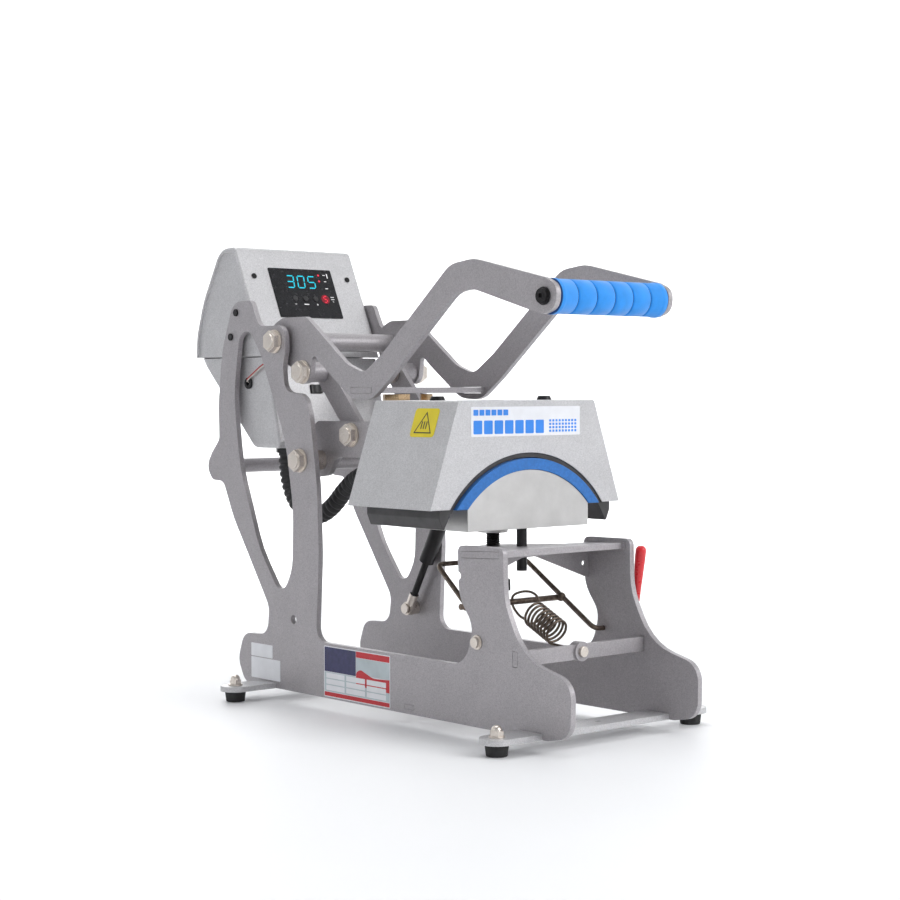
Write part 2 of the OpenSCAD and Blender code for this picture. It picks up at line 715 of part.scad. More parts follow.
// ---------- gas spring, in a plane beside the right-hand bracket ----------

gas_x = 76;
gas_length = norm(gas_top - gas_low);
gas_tilt = atan2(gas_low[0] - gas_top[0], gas_top[1] - gas_low[1]);
gas_tube_start = 66;

module on_gas_axis() {
    translate([gas_x, gas_low[0], gas_low[1]]) rotate([gas_tilt, 0, 0]) children();
}
module gas_spring_upper_ball() {
    color(zinc) {
        bar_x(gas_top, 4, bracket_x + plate_t, gas_x);
        bar_x(gas_top, 7, bracket_x + plate_t, bracket_x + plate_t + 3);
        translate([gas_x, gas_top[0], gas_top[1]]) sphere(r = 6.5);
    }
}
module gas_spring_rod() {
    color(black) on_gas_axis() {
        difference() {
            union() {
                rotate([0, 90, 0]) cylinder(r = 8, h = 9, center = true);
                cylinder(r = 5.5, h = 20);
            }
            rotate([0, 90, 0]) cylinder(r = 4 + fit, h = 30, center = true);
        }
        translate([0, 0, 20]) cylinder(r = 4, h = gas_tube_start + 42);
    }
}
module gas_spring_cylinder() {
    color(black) on_gas_axis() difference() {
        union() {
            translate([0, 0, gas_tube_start]) cylinder(r = gas_r, h = gas_length - gas_tube_start - 22);
            translate([0, 0, gas_length - 23]) cylinder(r = 4.5, h = 23 - 7.2);
        }
        translate([0, 0, gas_tube_start - 1]) cylinder(r = 4 + fit, h = 12);
        translate([0, 0, gas_tube_start + 8]) cylinder(r = gas_r - 2, h = gas_length - gas_tube_start - 36);
    }
}
module gas_spring_lower_stud() {
    color(zinc) {
        bar_x(gas_low, 4, gas_x - 6, outer_x);
        bar_x(gas_low, 7.5, gas_x + 5.5, inner_x);
        bar_x(gas_low, 8.5, outer_x, outer_x + 4);
        bar_x(gas_low, 6, gas_x - 8, gas_x - 5.5);
    }
}

// ---------- lower platen and its adjustment ----------

module curve_below(r, y, length) {
    translate([0, y, curve_z]) rotate([-90, 0, 0]) cylinder(r = r, h = length, $fn = 96);
}
module lower_platen() {
    z0 = 207;
    color([0.80, 0.80, 0.82]) difference() {
        union() {
            intersection() {
                curve_below(lower_r, 100, 114);
                block([-lower_x, 90, z0], [lower_x, 230, 300]);
            }
            translate([0, rod_y, 200]) cylinder(r = 16, h = 8);
        }
        translate([0, rod_y, 190]) cylinder(r = rod_r, h = 40);
        translate([0, guide_y, 190]) cylinder(r = guide_r, h = 40);
    }
}
module silicone_pad() {
    color([0.16, 0.42, 0.80]) intersection() {
        difference() {
            curve_below(lower_r + pad_t, 98.5, 115.5);
            curve_below(lower_r + 0.05, 90, 150);
        }
        block([-130, 90, 229.9], [130, 230, 300]);
    }
}
module guide_pin() {
    color([0.13, 0.14, 0.15]) translate([0, guide_y, 162]) cylinder(r = guide_r, h = 68);
}
module pressure_rod() {
    color(black) translate([0, rod_y, 122]) cylinder(r = rod_r, h = 108);
}
module adjusting_knob() {
    color(black) translate([0, rod_y, knob_z[0]]) difference() {
        union() {
            cylinder(r = 18.5, h = knob_z[1] - knob_z[0]);
            cylinder(r = 12, h = 178 - knob_z[0]);
        }
        translate([0, 0, -1]) cylinder(r = rod_r + fit, h = 60);
        for (k = [0 : 11]) rotate([0, 0, 30 * k]) translate([20, 0, -1]) cylinder(r = 3, h = 20);
    }
}

// ---------- hold-down bail ----------

lever_foot = [100, 44, 122];
lever_tip = [100, 36, 182];

module hold_down_bail() {
    color([0.30, 0.26, 0.24]) wire([
        [-inner_x - 4, 78, 98], [-73, 78, 98], [-62, 176, 168], [62, 176, 168], [73, 78, 98],
        [100, 78, 98], lever_foot, lever_tip
    ], bail_r);
}
module bail_cross_rod() {
    color([0.55, 0.52, 0.50]) both_sides() {
        bar_x([127, 128], 3.2, 0, 72);
        translate([67.6, 123, 129]) sphere(r = 5);
    }
}
module lever_grip() {
    color([0.85, 0.06, 0.08]) difference() {
        union() {
            strut(lever_foot, lever_tip, 5.4);
            translate(lever_tip) sphere(r = 5.7);
        }
        strut(lever_foot, lever_tip, bail_r + 0.02);
        translate(lever_foot) sphere(r = bail_r + 0.2, $fn = 24);
    }
}
module hold_down_screws() {
    color(zinc) {
        bar_x(bail_pivot, 7.5, -outer_x - 1.5, -outer_x);
        bar_x(bail_pivot, 5.5, -outer_x - 5, -outer_x - 1.5);
        translate([bar_boss_x, 13.5, bar_boss_z]) rotate([-90, 0, 0]) {
            cylinder(r = 5.5, h = 3);
            cylinder(r = 3, h = 22);
        }
    }
}
// A close coil with a straight end at the bar and a loop round the bail's rod
module hold_down_spring() {
    axis = unit(spring_high - spring_low);
    u = unit(cross(axis, [1, 0, 0]));
    v = cross(axis, u);
    length = norm(spring_high - spring_low);
    coil_from = 0.32 * length;
    coil_to = 0.75 * length;
    steps = 14;
    coil = [for (i = [0 : steps * spring_turns])
        let (t = i / (steps * spring_turns), a = 360 * spring_turns * t)
        spring_low + axis * (coil_from + (coil_to - coil_from) * t)
            + spring_r * (cos(a) * u + sin(a) * v)];
    color([0.25, 0.23, 0.22]) sweep(concat(
        [spring_low + axis * 4, spring_low + axis * (coil_from - 8) + u * 6], coil,
        [for (p = spring_loop) [5, p[0], p[1]]]), 1.2, 6);
}

// ---------- placing: the origin is on the floor in the middle of the press ----------

module placed() { translate([0, -front_foot_y, 0]) children(); }

placed() side_plate_left();
placed() side_plate_right();
placed() pedestal_top_plate();
placed() pedestal_gusset();
placed() mid_cross_bar();
placed() base_tie_bar();
placed() foot_bars();
placed() rubber_feet();
placed() foot_screws();
placed() rear_cross_tube();
placed() frame_pivot_bolts();
placed() pivot_spacers();
placed() housing_upper_shell();
placed() housing_lower_shell();
placed() housing_screws();
placed() display_window();
placed() key_left();
placed() key_centre();
placed() key_right();
placed() rocker_switch();
placed() power_inlet();
placed() control_board();
placed() housing_grommets();
placed() cable_conduit();
placed() frame_labels();
placed() handle_arm_left();
placed() handle_arm_right();
placed() handle_cross_plate();
placed() handle_pivot_tube();
placed() grip_tube();
placed() foam_grip();
placed() grip_end_screws();
placed() toggle_pins();
placed() toggle_bushes();
placed() toggle_links();
placed() platen_arm_brackets();
placed() arm_pivot_tube();
placed() link_pins();
placed() head_plate();
placed() stop_posts();
placed() head_cover();
placed() cover_screws();
placed() heat_platen();
placed() heater_element();
placed() head_label();
placed() head_cable_gland();
placed() gas_spring_upper_ball();
placed() gas_spring_rod();
placed() gas_spring_cylinder();
placed() gas_spring_lower_stud();
placed() lower_platen();
placed() silicone_pad();
placed() guide_pin();
placed() pressure_rod();
placed() adjusting_knob();
placed() hold_down_bail();
placed() bail_cross_rod();
placed() lever_grip();
placed() hold_down_screws();
placed() hold_down_spring();
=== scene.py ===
import json
import math

import bmesh
import bpy
from mathutils import Matrix, Vector


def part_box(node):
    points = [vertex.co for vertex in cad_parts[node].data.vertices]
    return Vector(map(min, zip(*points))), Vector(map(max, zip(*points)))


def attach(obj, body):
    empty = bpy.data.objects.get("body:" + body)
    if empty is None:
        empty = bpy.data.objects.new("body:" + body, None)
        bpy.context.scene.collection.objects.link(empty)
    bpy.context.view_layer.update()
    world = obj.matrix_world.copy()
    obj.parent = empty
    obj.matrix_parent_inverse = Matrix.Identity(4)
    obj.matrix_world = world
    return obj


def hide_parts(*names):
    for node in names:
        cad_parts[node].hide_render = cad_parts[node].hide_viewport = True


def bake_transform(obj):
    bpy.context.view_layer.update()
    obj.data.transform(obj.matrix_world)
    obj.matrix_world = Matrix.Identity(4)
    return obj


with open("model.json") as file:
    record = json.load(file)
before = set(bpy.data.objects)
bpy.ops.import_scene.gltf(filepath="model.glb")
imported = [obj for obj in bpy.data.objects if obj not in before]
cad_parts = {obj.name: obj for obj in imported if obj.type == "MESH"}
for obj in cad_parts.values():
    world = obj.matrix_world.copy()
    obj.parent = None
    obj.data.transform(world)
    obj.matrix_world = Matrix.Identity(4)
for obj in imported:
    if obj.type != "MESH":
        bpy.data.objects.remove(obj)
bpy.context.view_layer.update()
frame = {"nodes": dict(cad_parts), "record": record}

# Lengths below are in millimetres. x is across the press, y is measured back from the front feet,
# and z is the height above the floor. at() turns them into the frame's metres.
MM = 0.001
FOOT_BAR_HALF = 17
FRONT_FOOT_Y = -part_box("foot_bars")[0].y / MM - FOOT_BAR_HALF
PLATE_OUTER_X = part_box("side_plate_right")[1].x / MM


def at(x, y, z):
    return Vector((x, y - FRONT_FOOT_Y, z)) * MM


# ---------- camera, lights and floor ----------

def make_camera():
    azimuth, elevation, roll = (math.radians(a) for a in (-40.69, 1.743, -0.17))
    back = Vector((math.sin(azimuth) * math.cos(elevation),
                   -math.cos(azimuth) * math.cos(elevation), math.sin(elevation)))
    right = Vector((math.cos(azimuth), math.sin(azimuth), 0))
    turn = Matrix((right, back.cross(right), back)).transposed().to_4x4()
    data = bpy.data.cameras.new("camera")
    data.lens = 77.04
    data.sensor_width = 36
    data.clip_end = 100
    camera = bpy.data.objects.new("camera", data)
    bpy.context.scene.collection.objects.link(camera)
    camera.matrix_world = (Matrix.Translation(at(-1368.4, -1364.7, 349.8)) @ turn
                           @ Matrix.Rotation(roll, 4, "Z"))
    bpy.context.scene.camera = camera


def soft_light(name, place, size, power, target=(0, 0, 0.22)):
    data = bpy.data.lights.new(name, "AREA")
    data.shape = "DISK"
    data.size = size
    data.energy = power
    light = bpy.data.objects.new(name, data)
    bpy.context.scene.collection.objects.link(light)
    light.location = place
    aim = Vector(target) - Vector(place)
    light.rotation_euler = aim.to_track_quat("-Z", "Y").to_euler()


def make_studio():
    soft_light("key_light", (0.9, -2.2, 1.5), 1.7, 36)
    soft_light("top_light", (0.1, 0.3, 2.3), 1.9, 22)
    soft_light("left_light", (-2.3, 0.6, 1.2), 1.3, 3)
    soft_light("back_light", (0.7, 2.2, 1.5), 1.4, 12)
    soft_light("backdrop_light", (1.1, 1.3, 2.2), 1.6, 150, target=(3.4, 4.0, 0.9))
    world = bpy.data.worlds.new("studio")
    world.use_nodes = True
    background = world.node_tree.nodes["Background"]
    background.inputs["Color"].default_value = (0.96, 0.98, 1, 1)
    background.inputs["Strength"].default_value = 0.33
    bpy.context.scene.world = world
    bpy.context.scene.view_settings.view_transform = "Standard"


# ---------- materials ----------

def material(name, colour, metallic=0.0, roughness=0.5, mottle=0.05, mottle_size=14, grain_size=0.8,
             grain_depth=0.03, stretch=(1, 1, 1), flakes=0.0, scuffs=0.0, **sockets):
    """A procedural finish: slow colour variation, a fine grain in bump and roughness, and flakes."""
    made = bpy.data.materials.new(name)
    made.use_nodes = True
    tree = made.node_tree
    shader = tree.nodes["Principled BSDF"]
    shader.inputs["Metallic"].default_value = metallic
    for socket, value in sockets.items():
        shader.inputs[socket.replace("_", " ")].default_value = value

    def node(kind, **settings):
        new = tree.nodes.new(kind)
        for key, value in settings.items():
            setattr(new, key, value)
        return new

    place = node("ShaderNodeTexCoord").outputs["Object"]
    mapping = node("ShaderNodeMapping")
    mapping.inputs["Scale"].default_value = stretch
    tree.links.new(place, mapping.inputs["Vector"])

    def noise(size, detail, vector):
        new = node("ShaderNodeTexNoise")
        new.inputs["Scale"].default_value = 1 / (size * MM)
        new.inputs["Detail"].default_value = detail
        tree.links.new(vector, new.inputs["Vector"])
        return new.outputs["Fac"]

    def remap(value, low, high, source=(0.3, 0.7)):
        new = node("ShaderNodeMapRange")
        new.inputs["From Min"].default_value = source[0]
        new.inputs["From Max"].default_value = source[1]
        new.inputs["To Min"].default_value = low
        new.inputs["To Max"].default_value = high
        tree.links.new(value, new.inputs["Value"])
        return new.outputs["Result"]

    grain = noise(grain_size, 3, mapping.outputs["Vector"])
    slow = noise(mottle_size, 4, place)
    shades = remap(slow, 1 - mottle, 1 + mottle)
    if flakes:
        cells = node("ShaderNodeTexVoronoi")
        cells.inputs["Scale"].default_value = 1 / (0.9 * MM)
        tree.links.new(place, cells.inputs["Vector"])
        bright = remap(cells.outputs["Color"], 1 - flakes, 1 + flakes, (0, 1))
        both = node("ShaderNodeMath", operation="MULTIPLY")
        tree.links.new(shades, both.inputs[0])
        tree.links.new(bright, both.inputs[1])
        shades = both.outputs[0]
    tint = node("ShaderNodeVectorMath", operation="SCALE")
    tint.inputs[0].default_value = colour
    tree.links.new(shades, tint.inputs["Scale"])
    base = tint.outputs["Vector"]
    tree.links.new(base, shader.inputs["Base Color"])

    rough = remap(grain, roughness - 0.05, roughness + 0.07)
    if scuffs:
        worn = noise(5, 6, place)
        marks = remap(worn, 0, scuffs, (0.56, 0.66))
        total = node("ShaderNodeMath", operation="ADD")
        tree.links.new(rough, total.inputs[0])
        tree.links.new(marks, total.inputs[1])
        rough = total.outputs[0]
    tree.links.new(rough, shader.inputs["Roughness"])
    bump = node("ShaderNodeBump")
    bump.inputs["Distance"].default_value = grain_depth * MM
    bump.inputs["Strength"].default_value = 0.8
    tree.links.new(grain, bump.inputs["Height"])
    tree.links.new(bump.outputs["Normal"], shader.inputs["Normal"])
    return made


def glowing(name, colour, strength):
    made = material(name, colour, roughness=0.3, mottle=0.03, grain_depth=0.005)
    shader = made.node_tree.nodes["Principled BSDF"]
    shader.inputs["Emission Color"].default_value = (*colour, 1)
    shader.inputs["Emission Strength"].default_value = strength
    return made


def make_materials():
    """One material for each slot of the record, and the few that only small prints need."""
    return {
        "steel_paint": material("grey_powder_coat", (0.40, 0.38, 0.395), metallic=0.45, roughness=0.42,
                                mottle=0.03, mottle_size=30, flakes=0.18, grain_size=0.7,
                                grain_depth=0.05, scuffs=0.03),
        "shell_paint": material("silver_powder_coat", (0.56, 0.555, 0.565), metallic=0.5, roughness=0.42,
                                mottle=0.03, mottle_size=30, flakes=0.16, grain_size=0.7,
                                grain_depth=0.05, scuffs=0.03),
        "zinc": material("zinc_plate", (0.72, 0.66, 0.60), metallic=1.0, roughness=0.3,
                         mottle=0.03, mottle_size=12, grain_size=0.8, grain_depth=0.0005, scuffs=0.02),
        "gold_zinc": material("yellow_zinc_plate", (0.56, 0.40, 0.24), metallic=1.0, roughness=0.28,
                              mottle=0.10, mottle_size=9, grain_size=0.8, grain_depth=0.004, scuffs=0.06),
        "black_steel": material("black_oxide", (0.028, 0.027, 0.028), metallic=0.7, roughness=0.32,
                                mottle=0.2, grain_size=1.0, grain_depth=0.02, scuffs=0.1),
        "spring_steel": material("dark_spring_wire", (0.16, 0.125, 0.10), metallic=0.95, roughness=0.33,
                                 mottle=0.35, mottle_size=4, grain_size=0.5, grain_depth=0.03, scuffs=0.2),
        "aluminium": material("machined_aluminium", (0.62, 0.61, 0.60), metallic=0.92, roughness=0.34,
                              mottle=0.05, mottle_size=18, grain_size=0.9, grain_depth=0.045,
                              stretch=(1, 1, 0.4), scuffs=0.06),
        "hot_coating": material("dark_platen_coating", (0.055, 0.053, 0.055), metallic=0.35, roughness=0.36,
                                mottle=0.15, grain_size=0.9, grain_depth=0.03, scuffs=0.12),
        "silicone": material("blue_silicone", (0.018, 0.15, 0.47), roughness=0.62, mottle=0.12,
                             mottle_size=3, grain_size=0.9, grain_depth=0.18, Sheen_Weight=0.1),
        "foam": material("blue_grip_foam", (0.012, 0.27, 0.80), roughness=0.72, mottle=0.07,
                         mottle_size=9, grain_size=0.6, grain_depth=0.12, Sheen_Weight=0.25),
        # A darker navy for the same foam, used as painted shade in the grip's grooves and on its end faces.
        "foam_painted_shade": material("navy_painted_shade_foam", (0.005, 0.05, 0.19), roughness=0.8, mottle=0.1,
                              grain_size=0.6, grain_depth=0.12),
        "rubber": material("black_rubber", (0.018, 0.018, 0.018), roughness=0.68, mottle=0.15,
                           grain_size=0.8, grain_depth=0.08, scuffs=0.1),
        "black_plastic": material("black_moulded_plastic", (0.017, 0.017, 0.018), roughness=0.44,
                                  mottle=0.12, grain_size=0.6, grain_depth=0.05, scuffs=0.08),
        "window": material("display_overlay", (0.012, 0.012, 0.014), roughness=0.2, mottle=0.2,
                           mottle_size=25, grain_size=2.0, grain_depth=0.01, scuffs=0.08),
        "red_vinyl": material("dipped_red_vinyl", (0.62, 0.004, 0.012), roughness=0.3, mottle=0.06,
                              grain_size=2.5, grain_depth=0.03, Coat_Weight=0.4),
        "label": material("white_label_film", (0.80, 0.81, 0.84), roughness=0.4, mottle=0.04,
                          grain_size=1.5, grain_depth=0.01, scuffs=0.08),
        "circuit": material("circuit_board", (0.02, 0.16, 0.06), roughness=0.45, mottle=0.3,
                            mottle_size=3, grain_size=0.9, grain_depth=0.05),
        "mica": material("mica_heater", (0.42, 0.35, 0.25), roughness=0.55, mottle=0.2,
                         mottle_size=4, grain_size=1.0, grain_depth=0.06),
        "print_blue": material("blue_print", (0.03, 0.24, 0.78), roughness=0.4, mottle=0.05,
                               grain_size=1.5, grain_depth=0.01),
        "print_navy": material("navy_print", (0.035, 0.035, 0.11), roughness=0.4, mottle=0.2,
                               mottle_size=5, grain_size=1.5, grain_depth=0.01),
        "print_red": material("red_print", (0.55, 0.02, 0.03), roughness=0.4, mottle=0.08,
                              grain_size=1.5, grain_depth=0.01),
        "print_grey": material("pale_grey_print", (0.50, 0.57, 0.60), roughness=0.4, mottle=0.08,
                               grain_size=1.5, grain_depth=0.01),
        "print_black": material("black_print", (0.02, 0.02, 0.02), roughness=0.4, mottle=0.1,
                                grain_size=1.5, grain_depth=0.01),
        "print_yellow": material("yellow_sticker", (0.76, 0.62, 0.02), roughness=0.42, mottle=0.05,
                                 grain_size=1.5, grain_depth=0.01),
        "wire_red": material("red_wire", (0.45, 0.02, 0.02), roughness=0.4, mottle=0.1),
        "wire_white": material("white_wire", (0.62, 0.58, 0.54), roughness=0.4, mottle=0.1),
        "lit_cyan": glowing("lit_cyan", (0.01, 0.46, 0.58), 0.75),
        "lit_red": glowing("lit_red", (0.75, 0.02, 0.05), 0.5),
        "dim_red": glowing("dim_red", (0.18, 0.0, 0.01), 0.25),
        # White print for the display marks with a faint emission: a painted glow, since the marks are no
        # lamps.
        "painted_glow_white": glowing("painted_glow_white", (0.85, 0.85, 0.85), 0.15),
        "floor": material("pale_floor", (0.90, 0.905, 0.915), roughness=0.55, mottle=0.012,
                          mottle_size=400, grain_size=3, grain_depth=0.02),
    }


# ---------- shapes ----------

def mesh_piece(name, points, faces, finish, body=None, smooth=True):
    """A mesh object from points in the frame's metres."""
    data = bpy.data.meshes.new(name)
    data.from_pydata([tuple(p) for p in points], [], faces)
    data.materials.append(MATERIALS[finish])
    data.polygons.foreach_set("use_smooth", [smooth] * len(data.polygons))
    data.update()
    piece = bpy.data.objects.new(name, data)
    bpy.context.scene.collection.objects.link(piece)
    if body:
        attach(piece, body)
    return piece


def settle(piece):
    """Applies a piece's modifiers, so that its mesh is final."""
    depsgraph = bpy.context.evaluated_depsgraph_get()
    data = bpy.data.meshes.new_from_object(piece.evaluated_get(depsgraph))
    piece.modifiers.clear()
    piece.data = data
    return piece


def add_bevel(piece, width, segments=2, angle=32):
    """Rounds the sharp edges and keeps the flats flat."""
    bevel = piece.modifiers.new("edges", "BEVEL")
    bevel.width = width * MM
    bevel.segments = segments
    bevel.limit_method = "ANGLE"
    bevel.angle_limit = math.radians(angle)
    normals = piece.modifiers.new("normals", "WEIGHTED_NORMAL")
    normals.weight = 100
    normals.keep_sharp = False


def corner_arc(before, corner, after, radius, step=10):
    """The points of a round corner between three points of an outline."""
    u = (before - corner).normalized()
    v = (after - corner).normalized()
    half = math.acos(max(-1, min(1, u.dot(v)))) / 2
    reach = min(radius / math.tan(half), 0.499 * (before - corner).length, 0.499 * (after - corner).length)
    radius = reach * math.tan(half)
    middle = corner + (u + v).normalized() * radius / math.sin(half)
    start, end = corner + u * reach, corner + v * reach
    a0 = math.atan2(start.y - middle.y, start.x - middle.x)
    turn = math.atan2(end.y - middle.y, end.x - middle.x) - a0
    turn = (turn + math.pi) % (2 * math.pi) - math.pi
    count = max(2, math.ceil(abs(math.degrees(turn)) / step))
    return [middle + radius * Vector((math.cos(a0 + turn * i / count), math.sin(a0 + turn * i / count)))
            for i in range(count + 1)]


def outline(corners, closed=True):
    """Corners (a, b, radius) joined by arcs, as 2-D points."""
    points = [Vector(c[:2]) for c in corners]
    result = []
    for i, corner in enumerate(corners):
        ends = not closed and i in (0, len(corners) - 1)
        if corner[2] == 0 or ends:
            result.append(points[i])
        else:
            after = points[(i + 1) % len(points)]
            result += corner_arc(points[i - 1], points[i], after, corner[2])
    return result


def rounded_box(a0, b0, a1, b1, radius):
    return outline([(a0, b0, radius), (a1, b0, radius), (a1, b1, radius), (a0, b1, radius)])


def disc(a, b, radius, count=32):
    turns = [2 * math.pi * i / count for i in range(count)]
    return [Vector((a + radius * math.cos(turn), b + radius * math.sin(turn))) for turn in turns]


def prisms(name, outlines, low, high, place, finish, body, edge=0.0):
    """Flat shapes with a thickness, from outlines in a plane that place puts into the frame."""
    points, faces = [], []
    for shape in outlines:
        count, first = len(shape), len(points)
        for height in (low, high):
            points += [place @ Vector((p.x, p.y, height)) for p in shape]
        faces.append([first + i for i in reversed(range(count))])
        faces.append([first + count + i for i in range(count)])
        faces += [(first + i, first + (i + 1) % count, first + count + (i + 1) % count, first + count + i)
                  for i in range(count)]
    piece = mesh_piece(name, points, faces, finish, body, smooth=edge > 0)
    if edge:
        add_bevel(piece, edge)
        settle(piece)
    return piece


def ring_faces(rings, sides, closed_ends=True):
    faces = [(i * sides + k, i * sides + (k + 1) % sides,
              (i + 1) * sides + (k + 1) % sides, (i + 1) * sides + k)
             for i in range(rings - 1) for k in range(sides)]
    if closed_ends:
        faces.append(list(reversed(range(sides))))
        faces.append([(rings - 1) * sides + k for k in range(sides)])
    return faces


def tube(name, path, radii, sides, finish, body=None):
    """A tube round a path of points in millimetres; radii is one number or one for each point."""
    path = [Vector(p) for p in path]
    if not hasattr(radii, "__len__"):
        radii = [radii] * len(path)
    points, side = [], None
    for i, p in enumerate(path):
        along = (path[min(i + 1, len(path) - 1)] - path[max(i - 1, 0)]).normalized()
        side = along.orthogonal() if side is None else side - along * side.dot(along)
        side.normalize()
        other = along.cross(side)
        for k in range(sides):
            turn = 2 * math.pi * k / sides
            points.append(at(*(p + radii[i] * (math.cos(turn) * side + math.sin(turn) * other))))
    return mesh_piece(name, points, ring_faces(len(path), sides), finish, body)


def lathe(name, profile, centre, axis, sides, finish, body=None, closed=False):
    """Turns a profile of (distance along the axis, radius) about an axis through centre."""
    axis = Vector(axis).normalized()
    side = axis.orthogonal().normalized()
    other = axis.cross(side)
    points = []
    for along, radius in profile:
        for k in range(sides):
            turn = 2 * math.pi * k / sides
            spoke = math.cos(turn) * side + math.sin(turn) * other
            points.append(at(*(Vector(centre) + axis * along + radius * spoke)))
    faces = ring_faces(len(profile), sides, closed_ends=not closed)
    if closed:
        last = (len(profile) - 1) * sides
        faces += [(last + k, last + (k + 1) % sides, (k + 1) % sides, k) for k in range(sides)]
    return mesh_piece(name, points, faces, finish, body)


def bent(points, bend, steps=6):
    """A path through points with round bends."""
    points = [Vector(p) for p in points]
    path = [points[0]]
    for before, corner, after in zip(points, points[1:], points[2:]):
        reach = min(bend, 0.45 * (before - corner).length, 0.45 * (after - corner).length)
        start = corner + (before - corner).normalized() * reach
        end = corner + (after - corner).normalized() * reach
        for i in range(steps + 1):
            t = i / steps
            path.append(start * (1 - t) ** 2 + corner * 2 * t * (1 - t) + end * t * t)
    return path + [points[-1]]


def smooth_path(points, step):
    """A smooth curve through points, sampled about every step millimetres."""
    points = [Vector(p) for p in points]
    path = []
    for i in range(len(points) - 1):
        a, b, c, d = points[max(0, i - 1)], points[i], points[i + 1], points[min(len(points) - 1, i + 2)]
        count = max(2, round((c - b).length / step))
        for k in range(count):
            t = k / count
            path.append(0.5 * (2 * b + (c - a) * t + (2 * a - 5 * b + 4 * c - d) * t * t
                               + (3 * b - a - 3 * c + d) * t ** 3))
    return path + [points[-1]]


def distances(path):
    """How far along the path each of its points is."""
    run = [0.0]
    for a, b in zip(path, path[1:]):
        run.append(run[-1] + (b - a).length)
    return run


def cutter_box(low, high):
    points = [at(x, y, z) for x in (low[0], high[0]) for y in (low[1], high[1]) for z in (low[2], high[2])]
    faces = [(0, 1, 3, 2), (4, 6, 7, 5), (0, 4, 5, 1), (2, 3, 7, 6), (0, 2, 6, 4), (1, 5, 7, 3)]
    return mesh_piece("cutter", points, faces, "rubber", smooth=False)


def cut(piece, cutters):
    """Cuts the cutters' shapes out of a piece."""
    for cutter in cutters:
        boolean = piece.modifiers.new("cut", "BOOLEAN")
        boolean.object = cutter
        boolean.solver = "EXACT"
    bpy.context.view_layer.update()
    settle(piece)
    for cutter in cutters:
        bpy.data.objects.remove(cutter)


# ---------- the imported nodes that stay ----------

def finish_cad_nodes():
    """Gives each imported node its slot's material and rounds its edges."""
    wide = {"heat_platen": 0.9, "lower_platen": 0.5, "head_cover": 0.55, "silicone_pad": 0.7,
            "rubber_feet": 0.8, "adjusting_knob": 0.8, "frame_pivot_bolts": 0.6, "toggle_pins": 0.6,
            "link_pins": 0.6, "power_inlet": 0.6, "rocker_switch": 0.5}
    slots = {part["node"]: part["material_slot"] for part in frame["record"]["subparts"]}
    for name, node in frame["nodes"].items():
        node.data.materials.clear()
        node.data.materials.append(MATERIALS[slots[name]])
        with bpy.context.temp_override(object=node, active_object=node, selected_objects=[node]):
            bpy.ops.mesh.customdata_custom_splitnormals_clear()
        node.data.polygons.foreach_set("use_smooth", [True] * len(node.data.polygons))
        weld = node.modifiers.new("weld", "WELD")
        weld.merge_threshold = 0.002 * MM
        flat = node.modifiers.new("flats", "DECIMATE")
        flat.decimate_type = "DISSOLVE"
        flat.angle_limit = math.radians(0.3)
        add_bevel(node, wide.get(name, 0.35))


def plate_gas_spring_end():
    """The eye at the gas spring's lower end is zinc plated, unlike its black rod."""
    rod = frame["nodes"]["gas_spring_rod"]
    low_end, fitting_reach = at(0, 390, 93.5), 20.2 * MM
    rod.data.materials.append(MATERIALS["zinc"])
    for face in rod.data.polygons:
        offset = rod.matrix_world @ face.center - low_end
        if math.hypot(offset.y, offset.z) < fitting_reach:
            face.material_index = 1


# ---------- control housing ----------

PANEL_LEAN = 24.7
PANEL_TOP = (0, 514, 520)
PANEL = (Matrix.Translation(at(*PANEL_TOP)) @ Matrix.Rotation(math.radians(90 - PANEL_LEAN), 4, "X")
         @ Matrix.Scale(MM, 4))
SEAM_Z = 391
WINDOW_HALF, WINDOW_TOP, WINDOW_BOTTOM = 46, -26, -91
ROCKER = (Matrix.Translation(at(-17, 446.4, 353)) @ Matrix.Rotation(math.radians(90 - 13), 4, "X")
          @ Matrix.Scale(MM, 4))


def inset_corners(corners, depth):
    """The corners of an open outline moved inward; its two ends slide along the seam."""
    points = [Vector(c[:2]) for c in corners]
    edges = [(b - a).normalized() for a, b in zip(points, points[1:])]
    inward = [Vector((-e.y, e.x)) for e in edges]
    moved = [(points[0].x + depth / inward[0].x, points[0].y, 0)]
    for i in range(1, len(points) - 1):
        m, k = inward[i - 1], inward[i]
        place = points[i] + depth * (m + k) / (1 + m.dot(k))
        moved.append((place.x, place.y, max(0.02, corners[i][2] - depth)))
    moved.append((points[-1].x + depth / inward[-1].x, points[-1].y, 0))
    return moved


def housing_shell(name, corners, half_x, edge, recess, wall):
    """An open shell with round edges, from an outline in y and z whose two ends are on the seam."""
    steps = 5
    section = [(edge * (1 - math.sin(math.radians(90 * k / steps))),
                edge * (1 - math.cos(math.radians(90 * k / steps)))) for k in range(steps, -1, -1)]
    if recess:
        section = [(recess, 6.8), (recess, 6.2), (recess - 0.3, 6.0), (0.3, 5.7), (0, 5.4)] + section
    rings = [(-half_x + back, inset) for back, inset in section]
    rings += [(-x, inset) for x, inset in reversed(rings)]
    lines = [outline(inset_corners(corners, inset), closed=False) for x, inset in rings]
    count = len(lines[0])
    points = [at(ring[0], *p) for ring, line in zip(rings, lines) for p in line]
    faces = [(i * count + k, (i + 1) * count + k, (i + 1) * count + k + 1, i * count + k + 1)
             for i in range(len(rings) - 1) for k in range(count - 1)]
    faces += [list(range(count)), [(len(rings) - 1) * count + k for k in reversed(range(count))]]
    shell = mesh_piece(name, points, faces, "shell_paint")
    tidy = bmesh.new()
    tidy.from_mesh(shell.data)
    bmesh.ops.recalc_face_normals(tidy, faces=tidy.faces)
    tidy.to_mesh(shell.data)
    tidy.free()
    solid = shell.modifiers.new("wall", "SOLIDIFY")
    solid.thickness = wall * MM
    solid.offset = -1
    settle(shell)
    return shell


